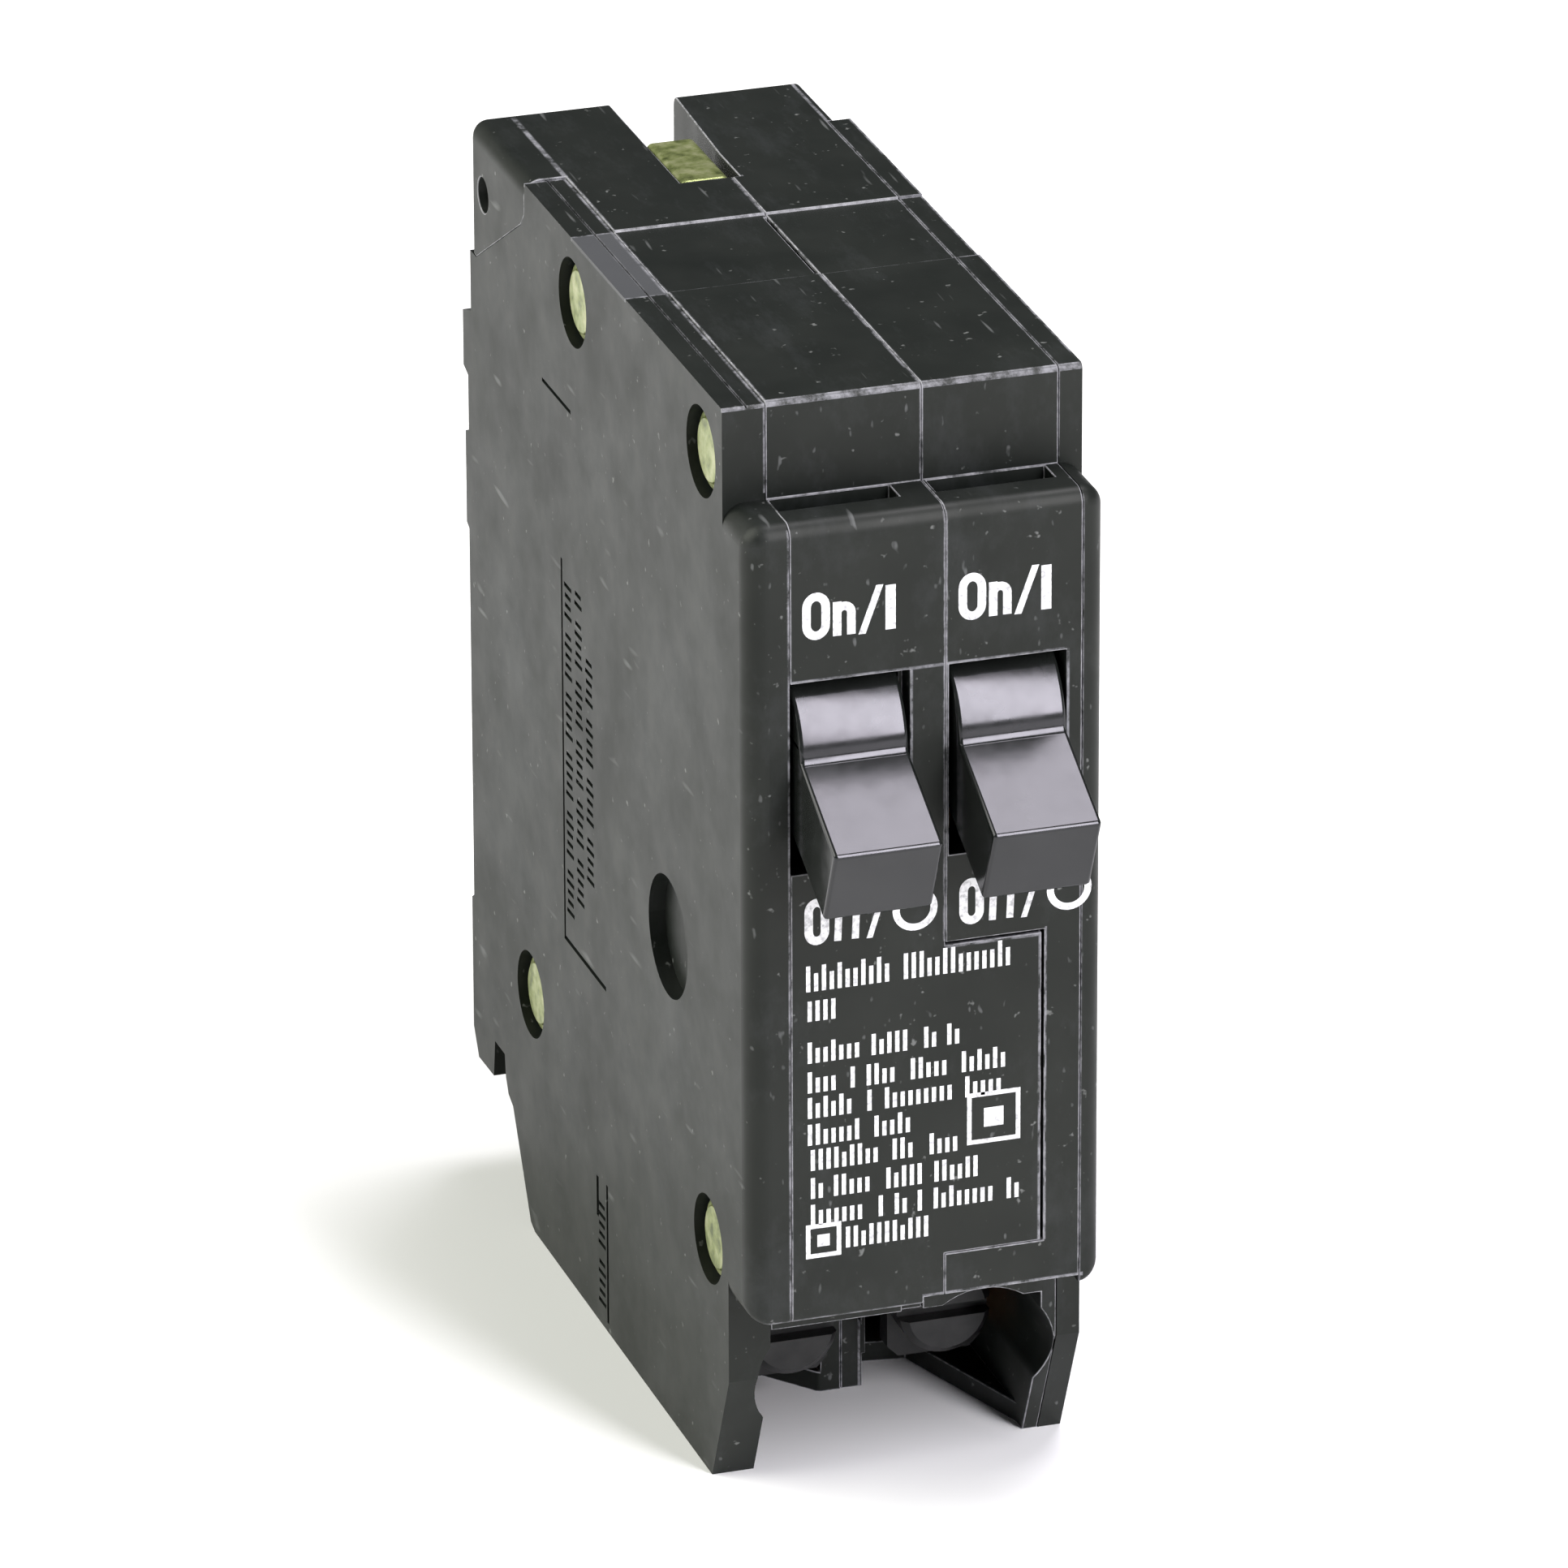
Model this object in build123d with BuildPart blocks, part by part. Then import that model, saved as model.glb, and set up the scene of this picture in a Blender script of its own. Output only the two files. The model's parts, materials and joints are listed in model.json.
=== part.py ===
from build123d import *
import math
import os

os.makedirs("parts", exist_ok=True)

# A one-inch plug-in circuit breaker with two narrow poles side by side.
# +X is to the right seen from the handles, -Y is the front (the handles), +Z is up. The load end is at the
# bottom, Z = 0, and the origin is the middle of the bottom of the bounding box.
# Sizes across the case are measured from its left face, and depths from the face of its nose.

# Case
WIDTH = 25.4                # one pole space
HEIGHT = 80.5
ORIGIN_DEPTH = 28.4         # depth of the origin behind the nose face
WALL = 1.6
SHOULDER_DEPTH = 5.15       # the case's face above the nose
NOSE_BOTTOM = 14.9
RIGHT_NOSE_BOTTOM = 15.5    # the nose is a little shorter from the middle to the right cover
NOSE_TOP = 73.5
ROOF_BOTTOM = 12.3          # roof of the terminal compartments
FLOOR = 1.5                 # thickness of the bottom end wall
COVER_SEAM = 3.0            # left cover to left base
MID_SEAM = 14.0             # left base to right base, on the front and top
RIGHT_SEAM = 23.7           # right base to right cover
COVER_SKIN = 1.7
LEFT_PARTITION = (11.2, 12.65)
RIGHT_PARTITION = (12.7, 14.25)
PARTITION_RIBS = (10.85, 14.5)   # thicker stretches beside the terminals
SEAM_GAP = 0.05
PARTITION_FRONT = 18.7      # depth of the partitions' front edge in the load end
NOSE_ROUND = 1.6
TOP_BACK = 63.3             # back face beside the stab slot
BACK = 65.3                 # deepest point of the case
BACK_ROUND = 0.8

# Front and top details
VENT_DEPTH = (2.9, 5.1)
OPENING_HEIGHT = (48.2, 62.1)
LEFT_OPENING = (3.0, 11.5)
RIGHT_OPENING = (14.25, 22.6)
TONGUE = (20.9, 18.6, 41.6)  # the label tongue's right edge, bottom and top
TONGUE_GAP = 0.2             # open joint above the tongue and on its right
BAND = (26.6, 38.9)          # shallow band across the top
BAND_SINK = 0.15
GROOVE_SINK = 0.15

# Engraved ticks on the left cover: each row's depth, bottom and count, and a tick's sizes
MARK_ROWS = [(40.6, 28.6, 34), (38.2, 30.4, 32), (35.8, 33.0, 24), (33.9, 1.4, 11)]
MARK_STEP = 0.75
MARK_LENGTH = 1.7
MARK_SINK = 0.22

# Rivets
RIVET_PLACES = [(38.8, 75.6), (9.8, 75.6), (50.6, 18.5), (9.2, 17.7)]
RIVET_SHANK = 1.6
RIVET_HEAD = 2.75
RIVET_RECESS = 3.2
RIVET_BOSS = 2.8
RECESS_SINK = 1.3

# Stab jaw
SLOT = (10.2, 14.55)
SLOT_DEPTH = 46.3
SLOT_BACK = 15.1            # the slot's right wall at the back
SLOT_FLOOR = 64.0
JAW = (10.27, 13.87)
JAW_DEPTH = (46.5, 54.5)
JAW_SKIN = 0.9

# Poles
POLES = {"left": (7.2, -1), "right": (18.4, 1)}   # middle of each pole, and its outward direction
HANDLE_WIDTH = 7.7
HANDLE_PIVOT = (4.9, 56.5)
DRUM = 6.1
PADDLE = 6.1
HANDLE_REST = 27.5          # degrees the handle points below level at OFF
TRUNNION = 1.25
RUNNING = 0.05              # radial clearance of every running fit
ARM_PIVOT = (17.5, 47.0)
ARM_OPEN = 14.0             # degrees the contact arm opens
CRADLE_PIVOT = (45.0, 45.0)
ARMATURE_PIVOT = (31.6, 19.0)
PIN = 1.0
SMALL_PIN = 0.7
BORES = ((HANDLE_PIVOT, TRUNNION), (ARM_PIVOT, PIN), (CRADLE_PIVOT, PIN), (ARMATURE_PIVOT, SMALL_PIN))
CONTACT_HEIGHT = 70.0

# Terminals
SCREW_HEIGHT = 8.0
SCREW_SHANK = 1.9
SCREW_HEAD = 3.3
HEAD_DEPTH = (12.4, 15.3)
PLATE_DEPTH = (15.4, 17.0)
STRAP_DEPTH = (24.2, 25.6)
STRAP_HEIGHT = (10.9, 12.1)
SCREW_END = 28.5

CASE_OUTLINE = [
    (0, NOSE_BOTTOM), (0, NOSE_TOP), (SHOULDER_DEPTH, NOSE_TOP), (SHOULDER_DEPTH, HEIGHT), (TOP_BACK, HEIGHT),
    (TOP_BACK, 66.0), (BACK, 65.4), (BACK, 61.2), (64.2, 60.8), (64.2, 56.6),
    (65.0, 56.3), (65.0, 49.3), (64.4, 49.0), (64.4, 20.5), (64.9, 20.2), (64.9, 10.0), (63.7, 8.0),
    (60.0, 8.1), (59.6, 11.0), (57.2, 11.0), (57.0, 9.3), (56.4, 8.2), (55.3, 7.7), (51.2, 0.4), (50.2, 0),
    (8.6, 0), (4.7, 8.8), (4.7, NOSE_BOTTOM),
]
CASE_ROUNDS = [((0, NOSE_TOP), 1.1), ((0, NOSE_BOTTOM), 0.5), ((TOP_BACK, HEIGHT), BACK_ROUND),
               ((SHOULDER_DEPTH, HEIGHT), 0.4)]
MECHANISM_CAVITY = [
    (WALL, 16.5), (WALL, 71.9), (6.75, 71.9), (6.75, 78.9), (61.7, 78.9), (61.7, 64.4), (62.8, 64.4),
    (62.8, 12.6), (55.6, 12.6), (53.3, 9.6), (48.9, 1.6), (33.7, 1.6), (33.7, 13.9), (6.3, 13.9), (6.3, 16.5),
]
TERMINAL_CAVITY = [(3.0, FLOOR), (3.0, ROOF_BOTTOM), (32.2, ROOF_BOTTOM), (32.2, FLOOR)]
NEST = [
    (WALL, 16.5), (WALL, 71.9), (6.75, 71.9), (6.75, 78.9), (61.7, 78.9), (61.7, 64.4), (62.8, 64.4),
    (62.8, 12.6), (55.6, 12.6), (53.3, 9.6), (48.9, -1), (PARTITION_FRONT, -1), (PARTITION_FRONT, 13.9),
    (6.3, 13.9), (6.3, 16.5),
]
UNDER_NOSE = [
    (-1, -1), (-1, NOSE_BOTTOM), (4.7, NOSE_BOTTOM), (4.7, ROOF_BOTTOM), (PARTITION_FRONT, ROOF_BOTTOM),
    (PARTITION_FRONT, -1),
]
LEFT_CORNER = [(50.0, 82), (50.0, 78.0), (50.8, 77.0), (61.8, 70.6), (66, 70.6), (66, 82)]
RIGHT_CORNER = [(54.7, 82), (54.7, 77.2), (61.4, 70.6), (66, 70.6), (66, 82)]


def across(place):
    """X of a place measured from the case's left face."""
    return place - WIDTH / 2


def on_side(depth, height):
    """A side view's point, for a sketch on a YZ plane."""
    return (depth - ORIGIN_DEPTH, height)


def turned(point, pivot, degrees):
    """A side view's point turned about a pivot; positive lifts the back."""
    angle = math.radians(degrees)
    run = point[0] - pivot[0]
    rise = point[1] - pivot[1]
    return (
        pivot[0] + run * math.cos(angle) - rise * math.sin(angle),
        pivot[1] + run * math.sin(angle) + rise * math.cos(angle),
    )


def side_shape(outline, left, right, mode=Mode.ADD, rounds=()):
    """Add or cut a flat shape with this side outline, from one place across the case to another."""
    with BuildSketch(Plane.YZ.offset(across(left))) as profile:
        with BuildLine():
            Polyline(*[on_side(*point) for point in outline], close=True)
        make_face()
        for corner, radius in rounds:
            fillet(profile.vertices().sort_by_distance((*on_side(*corner), 0))[0], radius=radius)
    extrude(profile.sketch, amount=right - left, mode=mode)


def side_disc(place, radius, left, right, mode=Mode.ADD):
    """Add or cut a round bar that runs across the case."""
    with BuildSketch(Plane.YZ.offset(across(left))) as profile:
        with Locations(on_side(*place)):
            Circle(radius)
    extrude(profile.sketch, amount=right - left, mode=mode)


def depth_disc(place, radius, front, back, mode=Mode.ADD):
    """Add or cut a round bar that runs front to back, at a place across and a height."""
    with BuildSketch(Plane.XZ.offset(ORIGIN_DEPTH - front)) as profile:
        with Locations((across(place[0]), place[1])):
            Circle(radius)
    extrude(profile.sketch, amount=front - back, mode=mode)


def plan_shape(outline, bottom, top, mode=Mode.ADD):
    """Add or cut a flat shape with this outline seen from above, as places across and depths."""
    with BuildSketch(Plane.XY.offset(bottom)) as profile:
        with BuildLine():
            Polyline(*[(across(place), depth - ORIGIN_DEPTH) for place, depth in outline], close=True)
        make_face()
    extrude(profile.sketch, amount=top - bottom, mode=mode)


def block(places, depths, heights, mode=Mode.ADD):
    """Add or cut a box between two places across, two depths and two heights."""
    front, back = depths
    outline = [(front, heights[0]), (back, heights[0]), (back, heights[1]), (front, heights[1])]
    side_shape(outline, places[0], places[1], mode)


def save(part, name):
    part.label = name
    export_step(part, f"parts/{name}.step")


def edge_normal(start, end):
    """Unit vector towards the inside from an edge of an outline that runs clockwise."""
    length = math.dist(start, end)
    return ((end[1] - start[1]) / length, (start[0] - end[0]) / length)


def drawn_in(outline, gap):
    """A clockwise outline with every edge moved in by a gap, for a plate that nests in another's rim."""
    corners = []
    for number, corner in enumerate(outline):
        first = edge_normal(outline[number - 1], corner)
        second = edge_normal(corner, outline[(number + 1) % len(outline)])
        share = gap / (1 + first[0] * second[0] + first[1] * second[1])
        drawn = (corner[0] + share * (first[0] + second[0]), corner[1] + share * (first[1] + second[1]))
        corners.append(drawn)
    return corners


def engrave_marks(depth, bottom, count):
    """One upright row of plain engraved ticks, in groups, on the left cover."""
    with BuildSketch(Plane.YZ.offset(across(0) - 1)) as marks:
        for number in range(count):
            if number % 6 != 5:
                long = number % 3 == 0
                height = bottom + MARK_STEP * (number + 0.5)
                with Locations(on_side(depth, height)):
                    Rectangle(MARK_LENGTH if long else MARK_LENGTH * 0.8, 0.32)
    extrude(marks.sketch, amount=1 + MARK_SINK, mode=Mode.SUBTRACT)


def round_nose(part, place):
    """Round the nose's upright edge on a cover's outer face."""
    edges = part.edges().filter_by(
        lambda edge: abs(edge.center().X - across(place)) < 0.01
        and abs(edge.center().Y + ORIGIN_DEPTH) < 0.01
        and edge.length > 40
    )
    fillet(edges, radius=NOSE_ROUND)


def round_corner_block(part, place, radius):
    """Round the upright back edge of a base's corner block."""
    edges = part.edges().filter_by(
        lambda edge: abs(edge.center().X - across(place)) < 0.01
        and abs(edge.center().Y - (TOP_BACK - ORIGIN_DEPTH)) < 0.01
        and edge.center().Z > 70
    )
    fillet(edges, radius=radius)


# ---- case ----
with BuildPart() as left_cover:
    side_shape(CASE_OUTLINE, 0, COVER_SEAM, rounds=CASE_ROUNDS)
    side_shape(MECHANISM_CAVITY, COVER_SKIN, COVER_SEAM, Mode.SUBTRACT)
    side_shape(LEFT_CORNER, -1, COVER_SEAM + 1, Mode.SUBTRACT)
    round_nose(left_cover, 0)
    for place in RIVET_PLACES:
        side_disc(place, RIVET_RECESS + 1.0, COVER_SKIN - 0.4, COVER_SEAM)
    side_disc((17.9, 36.7), 5.4, COVER_SKIN - 0.5, COVER_SEAM - 0.4)
    for place in (ARM_PIVOT, CRADLE_PIVOT, ARMATURE_PIVOT):
        side_disc(place, 2.0, COVER_SKIN - 0.1, COVER_SEAM)
    side_disc(HANDLE_PIVOT, 2.4, COVER_SKIN - 0.1, COVER_SEAM)
    for place in RIVET_PLACES:
        side_disc(place, RIVET_RECESS, -1, RECESS_SINK, Mode.SUBTRACT)
        side_disc(place, RIVET_SHANK + RUNNING, 0, 4, Mode.SUBTRACT)
    side_disc((17.9, 36.7), 4.4, -1, 1.2, Mode.SUBTRACT)
    side_disc(ARM_PIVOT, PIN + RUNNING, 1.9, 4, Mode.SUBTRACT)
    side_disc(CRADLE_PIVOT, PIN + RUNNING, 1.9, 4, Mode.SUBTRACT)
    side_disc(ARMATURE_PIVOT, SMALL_PIN + RUNNING, 1.9, 4, Mode.SUBTRACT)
    side_disc(HANDLE_PIVOT, TRUNNION + RUNNING, 2.2, 4, Mode.SUBTRACT)
    depth_disc((POLES["left"][0], SCREW_HEIGHT), 5.2, 2, 24, Mode.SUBTRACT)
    block((-1, 0.3), (41.85, 42.2), (26.4, 55.4), Mode.SUBTRACT)
    block((-1, 0.3), (32.4, 42.2), (26.4, 26.75), Mode.SUBTRACT)
    block((-1, 0.3), (39.5, 46.2), (67.05, 67.35), Mode.SUBTRACT)
    block((-1, 0.3), (34.6, 35.1), (8.1, 11.2), Mode.SUBTRACT)
    block((-1, 0.3), (32.4, 32.8), (0.7, 11.4), Mode.SUBTRACT)
    for depth, bottom, count in MARK_ROWS:
        engrave_marks(depth, bottom, count)
    block((-1, COVER_SEAM + 1), (-1, 66), (HEIGHT - BAND_SINK, HEIGHT + 1), Mode.SUBTRACT)
    block((1.62, 1.76), (SHOULDER_DEPTH - 1, 50), (HEIGHT - BAND_SINK - GROOVE_SINK, HEIGHT), Mode.SUBTRACT)
save(left_cover.part, "left_cover")

with BuildPart() as left_base:
    side_shape(CASE_OUTLINE, COVER_SEAM + SEAM_GAP, MID_SEAM, rounds=CASE_ROUNDS)
    # the block that fills the cover's missing corner
    side_shape([(50.05, HEIGHT), (50.05, 78.0), (50.85, 77.05), (61.8, 70.65), (TOP_BACK, 70.65),
                (TOP_BACK, HEIGHT)], 0, COVER_SEAM + SEAM_GAP, rounds=[((TOP_BACK, HEIGHT), BACK_ROUND)])
    round_corner_block(left_base, 0, 1.2)
    side_shape(MECHANISM_CAVITY, COVER_SEAM, LEFT_PARTITION[0], Mode.SUBTRACT)
    side_shape(TERMINAL_CAVITY, COVER_SEAM, LEFT_PARTITION[0], Mode.SUBTRACT)
    side_shape(NEST, LEFT_PARTITION[1], MID_SEAM + 1, Mode.SUBTRACT)
    side_shape(UNDER_NOSE, LEFT_PARTITION[0] - 1, MID_SEAM + 1, Mode.SUBTRACT)
    block((12.5, MID_SEAM + 1), (-1, 5), (-1, RIGHT_NOSE_BOTTOM), Mode.SUBTRACT)
    for place in RIVET_PLACES:
        side_disc(place, RIVET_BOSS, COVER_SEAM + SEAM_GAP, LEFT_PARTITION[1])
    # wall between the left pole and the stab slot
    block((8.9, LEFT_PARTITION[0] + 0.1), (44.9, TOP_BACK - 0.1), (62.6, 80.0))
    side_disc((60.0, 75.9), 1.3, -1, 1.8, Mode.SUBTRACT)
    for place in RIVET_PLACES:
        side_disc(place, RIVET_SHANK + RUNNING, 0, 16, Mode.SUBTRACT)
    plan_shape([(SLOT[0], SLOT_DEPTH), (SLOT[1], SLOT_DEPTH), (SLOT[1], 51.0), (SLOT_BACK, TOP_BACK),
                (SLOT_BACK, 70), (SLOT[0], 70)], SLOT_FLOOR, 82, Mode.SUBTRACT)
    block((SLOT[0], LEFT_PARTITION[0]), (44.0, 47.0), (67.3, 71.7), Mode.SUBTRACT)
    plan_shape([(2, 0), (2, 22.8), (7.8, 22.8), (10.9, 18.9), (LEFT_PARTITION[0], 18.7),
                (LEFT_PARTITION[0], 0)],
               -1, FLOOR, Mode.SUBTRACT)
    block((3.9, 10.5), (31, 34), STRAP_HEIGHT, Mode.SUBTRACT)
    block(LEFT_OPENING, (-1, WALL + 0.1), OPENING_HEIGHT, Mode.SUBTRACT)
    block((3.2, 11.7), VENT_DEPTH, (71.0, 75.0), Mode.SUBTRACT)
    for place, radius in BORES:
        side_disc(place, radius + RUNNING, LEFT_PARTITION[0] - 0.5, LEFT_PARTITION[0] + 0.95, Mode.SUBTRACT)
    # the label tongue let into the right base
    block((MID_SEAM - 0.5, TONGUE[0]), (0, WALL - SEAM_GAP), (TONGUE[1], TONGUE[2]))
    block((PARTITION_RIBS[0], LEFT_PARTITION[0] + 0.1), (PARTITION_FRONT, 32.3), (2.5, ROOF_BOTTOM + 0.1))
    block((-1, 26), BAND, (HEIGHT - BAND_SINK, HEIGHT + 1), Mode.SUBTRACT)
    block((MID_SEAM - 0.25, MID_SEAM + 1), (27.2, 38.4), (HEIGHT - 1.2, HEIGHT + 1), Mode.SUBTRACT)
save(left_base.part, "left_base")

with BuildPart() as right_base:
    side_shape(drawn_in(NEST, SEAM_GAP), RIGHT_PARTITION[0], MID_SEAM + SEAM_GAP)
    side_shape(CASE_OUTLINE, MID_SEAM + SEAM_GAP / 2, RIGHT_SEAM, rounds=CASE_ROUNDS)
    side_shape(MECHANISM_CAVITY, RIGHT_PARTITION[1], RIGHT_SEAM + 1, Mode.SUBTRACT)
    side_shape(TERMINAL_CAVITY, RIGHT_PARTITION[1], 22.6, Mode.SUBTRACT)
    side_shape(UNDER_NOSE, RIGHT_PARTITION[0] - 1, RIGHT_PARTITION[1], Mode.SUBTRACT)
    block((RIGHT_PARTITION[0], RIGHT_PARTITION[1] + 0.1), (-1, 60), (-2, 0), Mode.SUBTRACT)
    block((MID_SEAM - 1, RIGHT_SEAM + 1), (-1, 4.69), (-1, RIGHT_NOSE_BOTTOM), Mode.SUBTRACT)
    for place in RIVET_PLACES:
        side_disc(place, RIVET_BOSS, RIGHT_PARTITION[1] - 0.1, RIGHT_SEAM)
    block((14.2, 15.9), (44.9, TOP_BACK - 0.1), (62.6, 80.0))
    side_shape([(54.75, HEIGHT), (54.75, 77.25), (61.4, 70.65), (TOP_BACK, 70.65), (TOP_BACK, HEIGHT)],
               RIGHT_SEAM, 24.3, rounds=[((TOP_BACK, HEIGHT), BACK_ROUND)])
    round_corner_block(right_base, 24.3, 0.4)
    for place in RIVET_PLACES:
        side_disc(place, RIVET_SHANK + RUNNING, 12, 25, Mode.SUBTRACT)
    plan_shape([(SLOT[0], SLOT_DEPTH), (SLOT[1], SLOT_DEPTH), (SLOT[1], 51.0), (SLOT_BACK, TOP_BACK),
                (SLOT_BACK, 70), (SLOT[0], 70)], SLOT_FLOOR, 82, Mode.SUBTRACT)
    block((12.6, RIGHT_PARTITION[1] + 0.1), (40.5, 46.4), (67.3, 71.7), Mode.SUBTRACT)
    plan_shape([(RIGHT_PARTITION[1], 0), (RIGHT_PARTITION[1], 22.4), (15.4, 22.4), (18.5, 21.9), (22.6, 9.8),
                (22.6, 0)], -1, FLOOR, Mode.SUBTRACT)
    block((15.1, 21.7), (31, 34), STRAP_HEIGHT, Mode.SUBTRACT)
    block(RIGHT_OPENING, (-1, WALL + 0.1), OPENING_HEIGHT, Mode.SUBTRACT)
    block((14.3, 22.7), VENT_DEPTH, (71.0, 75.0), Mode.SUBTRACT)
    for place, radius in BORES:
        side_disc(place, radius + RUNNING, RIGHT_PARTITION[1] - 0.85, RIGHT_PARTITION[1] + 0.5, Mode.SUBTRACT)
    depth_disc((POLES["right"][0], SCREW_HEIGHT), 5.2, 2, 24, Mode.SUBTRACT)
    block((MID_SEAM - 1, TONGUE[0] + TONGUE_GAP), (-1, WALL + 0.1),
          (TONGUE[1] - SEAM_GAP, TONGUE[2] + TONGUE_GAP), Mode.SUBTRACT)
    block((RIGHT_PARTITION[1] - 0.1, PARTITION_RIBS[1]), (PARTITION_FRONT, 32.3), (2.5, ROOF_BOTTOM + 0.1))
    block((-1, 26), BAND, (HEIGHT - BAND_SINK, HEIGHT + 1), Mode.SUBTRACT)
save(right_base.part, "right_base")

with BuildPart() as right_cover:
    side_shape(CASE_OUTLINE, RIGHT_SEAM + SEAM_GAP, WIDTH, rounds=CASE_ROUNDS)
    side_shape(RIGHT_CORNER, 20, 27, Mode.SUBTRACT)
    round_nose(right_cover, WIDTH)
    side_disc(HANDLE_PIVOT, 2.4, 22.5, RIGHT_SEAM + 0.3)
    for place in RIVET_PLACES:
        side_disc(place, RIVET_RECESS, WIDTH - 1.0, WIDTH + 1, Mode.SUBTRACT)
        side_disc(place, RIVET_SHANK + RUNNING, 23, 26, Mode.SUBTRACT)
    for place, radius in ((ARM_PIVOT, PIN), (CRADLE_PIVOT, PIN), (ARMATURE_PIVOT, SMALL_PIN)):
        side_disc(place, radius + RUNNING, 23, 24.4, Mode.SUBTRACT)
    side_disc(HANDLE_PIVOT, TRUNNION + RUNNING, 22, 24.1, Mode.SUBTRACT)
    block((-1, 26), BAND, (HEIGHT - BAND_SINK, HEIGHT + 1), Mode.SUBTRACT)
save(right_cover.part, "right_cover")

with BuildPart() as case_rivets:
    for place in RIVET_PLACES:
        side_disc(place, RIVET_SHANK, RECESS_SINK - 0.2, WIDTH - 0.5)
        side_disc(place, RIVET_HEAD, 0.7, RECESS_SINK)
        side_disc(place, RIVET_HEAD - 0.5, 0.45, RECESS_SINK)
        side_disc(place, RIVET_HEAD - 0.4, WIDTH - 1.0, WIDTH - 0.4)
save(case_rivets.part, "case_rivets")

# ---- stab jaw, shared by both poles ----
with BuildPart() as stab_jaw:
    block(JAW, JAW_DEPTH, (66.0, HEIGHT))
    fillet(stab_jaw.edges().filter_by(Axis.Y).group_by(Axis.Z)[-1], radius=0.5)
    block((JAW[0] + JAW_SKIN, JAW[1] - JAW_SKIN), (40, 60), (60, HEIGHT - JAW_SKIN), Mode.SUBTRACT)
save(stab_jaw.part, "stab_jaw")

with BuildPart() as jaw_spring:
    block((JAW[0] + JAW_SKIN + 0.02, JAW[0] + JAW_SKIN + 0.32), (48.0, 53.5), (67.0, 78.6))
    block((JAW[1] - JAW_SKIN - 0.32, JAW[1] - JAW_SKIN - 0.02), (48.0, 53.5), (67.0, 78.6))
    block((JAW[0] + JAW_SKIN + 0.02, JAW[1] - JAW_SKIN - 0.02), (48.0, 53.5), (78.3, 78.6))
save(jaw_spring.part, "jaw_spring")


# ---- one pole's pieces ----
def handle_part(middle):
    pivot = HANDLE_PIVOT
    half = PADDLE / 2
    outline = [(pivot[0] - reach, pivot[1] + side) for reach, side in
               ((0, half), (13.52, half), (13.95, -half), (0, -half))]
    with BuildPart() as handle:
        side_disc(pivot, DRUM, middle - HANDLE_WIDTH / 2, middle + HANDLE_WIDTH / 2)
        side_shape([turned(point, pivot, HANDLE_REST) for point in outline], middle - HANDLE_WIDTH / 2,
                   middle + HANDLE_WIDTH / 2)
        lever = [(pivot[0] + 4, 54.6), (14.3, 50.4), (13.0, 49.9), (pivot[0] + 2, 51.6)]
        side_shape(lever, middle - 1.5, middle + 1.5)
        side_disc((13.6, 51.2), 1.2, middle - 1.5, middle + 1.5)
        side_disc(pivot, TRUNNION, middle - 4.65, middle + 4.65)
    return handle.part


def contact_arm_part(middle):
    lever = [(15.6, 48.4), (22.6, 66.8), (23.6, 73.5), (25.2, 73.5), (25.2, 66.2), (19.4, 45.8)]
    with BuildPart() as contact_arm:
        side_shape([turned(point, ARM_PIVOT, ARM_OPEN) for point in lever], middle - 1.2, middle + 1.2)
        side_disc(ARM_PIVOT, 2.3, middle - 1.6, middle + 1.6)
        side_disc(ARM_PIVOT, PIN + RUNNING, middle - 2, middle + 2, Mode.SUBTRACT)
    return contact_arm.part


def moving_contact_part(middle):
    face = [(25.2, CONTACT_HEIGHT - 1.8), (26.2, CONTACT_HEIGHT - 1.4), (26.2, CONTACT_HEIGHT + 1.4),
            (25.2, CONTACT_HEIGHT + 1.8)]
    with BuildPart() as moving_contact:
        side_shape([turned(point, ARM_PIVOT, ARM_OPEN) for point in face], middle - 1.6, middle + 1.6)
    return moving_contact.part


def fixed_contact_part(middle):
    with BuildPart() as fixed_contact:
        depth_disc((middle, CONTACT_HEIGHT), 1.8, 26.25, 27.2)
        chamfer(fixed_contact.edges().filter_by(GeomType.CIRCLE).group_by(Axis.Y)[0], length=0.25)
    return fixed_contact.part


def line_strap_part(middle, tail):
    half = 0.45
    outline = [
        (tail - half, 46.4), (tail + half, 46.4), (tail + half, 42.8), (middle + half, 37.4),
        (middle + half, 28.2),
        (middle + 2.2, 28.2), (middle + 2.2, 27.2), (middle - 2.2, 27.2), (middle - 2.2, 28.2),
        (middle - half, 28.2), (middle - half, 37.4), (tail - half, 42.8),
    ]
    with BuildPart() as line_strap:
        plan_shape(outline, 67.6, 71.4)
    return line_strap.part


def coil_part(start, end, radius, wire, turns):
    """A coil spring between two points given as places across, depths and heights."""
    bottom = Vector(across(start[0]), start[1] - ORIGIN_DEPTH, start[2])
    top = Vector(across(end[0]), end[1] - ORIGIN_DEPTH, end[2])
    length = (top - bottom).length
    with BuildPart() as coil:
        with BuildLine() as centre:
            Helix(pitch=length / turns, height=length, radius=radius, center=bottom, direction=top - bottom)
        with BuildSketch(Plane(origin=centre.line @ 0, z_dir=centre.line % 0)):
            Circle(wire)
        sweep(is_frenet=True)
    return coil.part


def cradle_part(middle):
    outline = [(45.0, 47.4), (31.0, 51.0), (25.6, 56.4), (24.0, 55.4), (28.6, 48.0), (44.2, 42.7)]
    with BuildPart() as cradle:
        side_shape(outline, middle - 0.8, middle + 0.8)
        side_disc(CRADLE_PIVOT, 2.4, middle - 1.6, middle + 1.6)
        side_disc(CRADLE_PIVOT, PIN + RUNNING, middle - 2, middle + 2, Mode.SUBTRACT)
    return cradle.part


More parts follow.
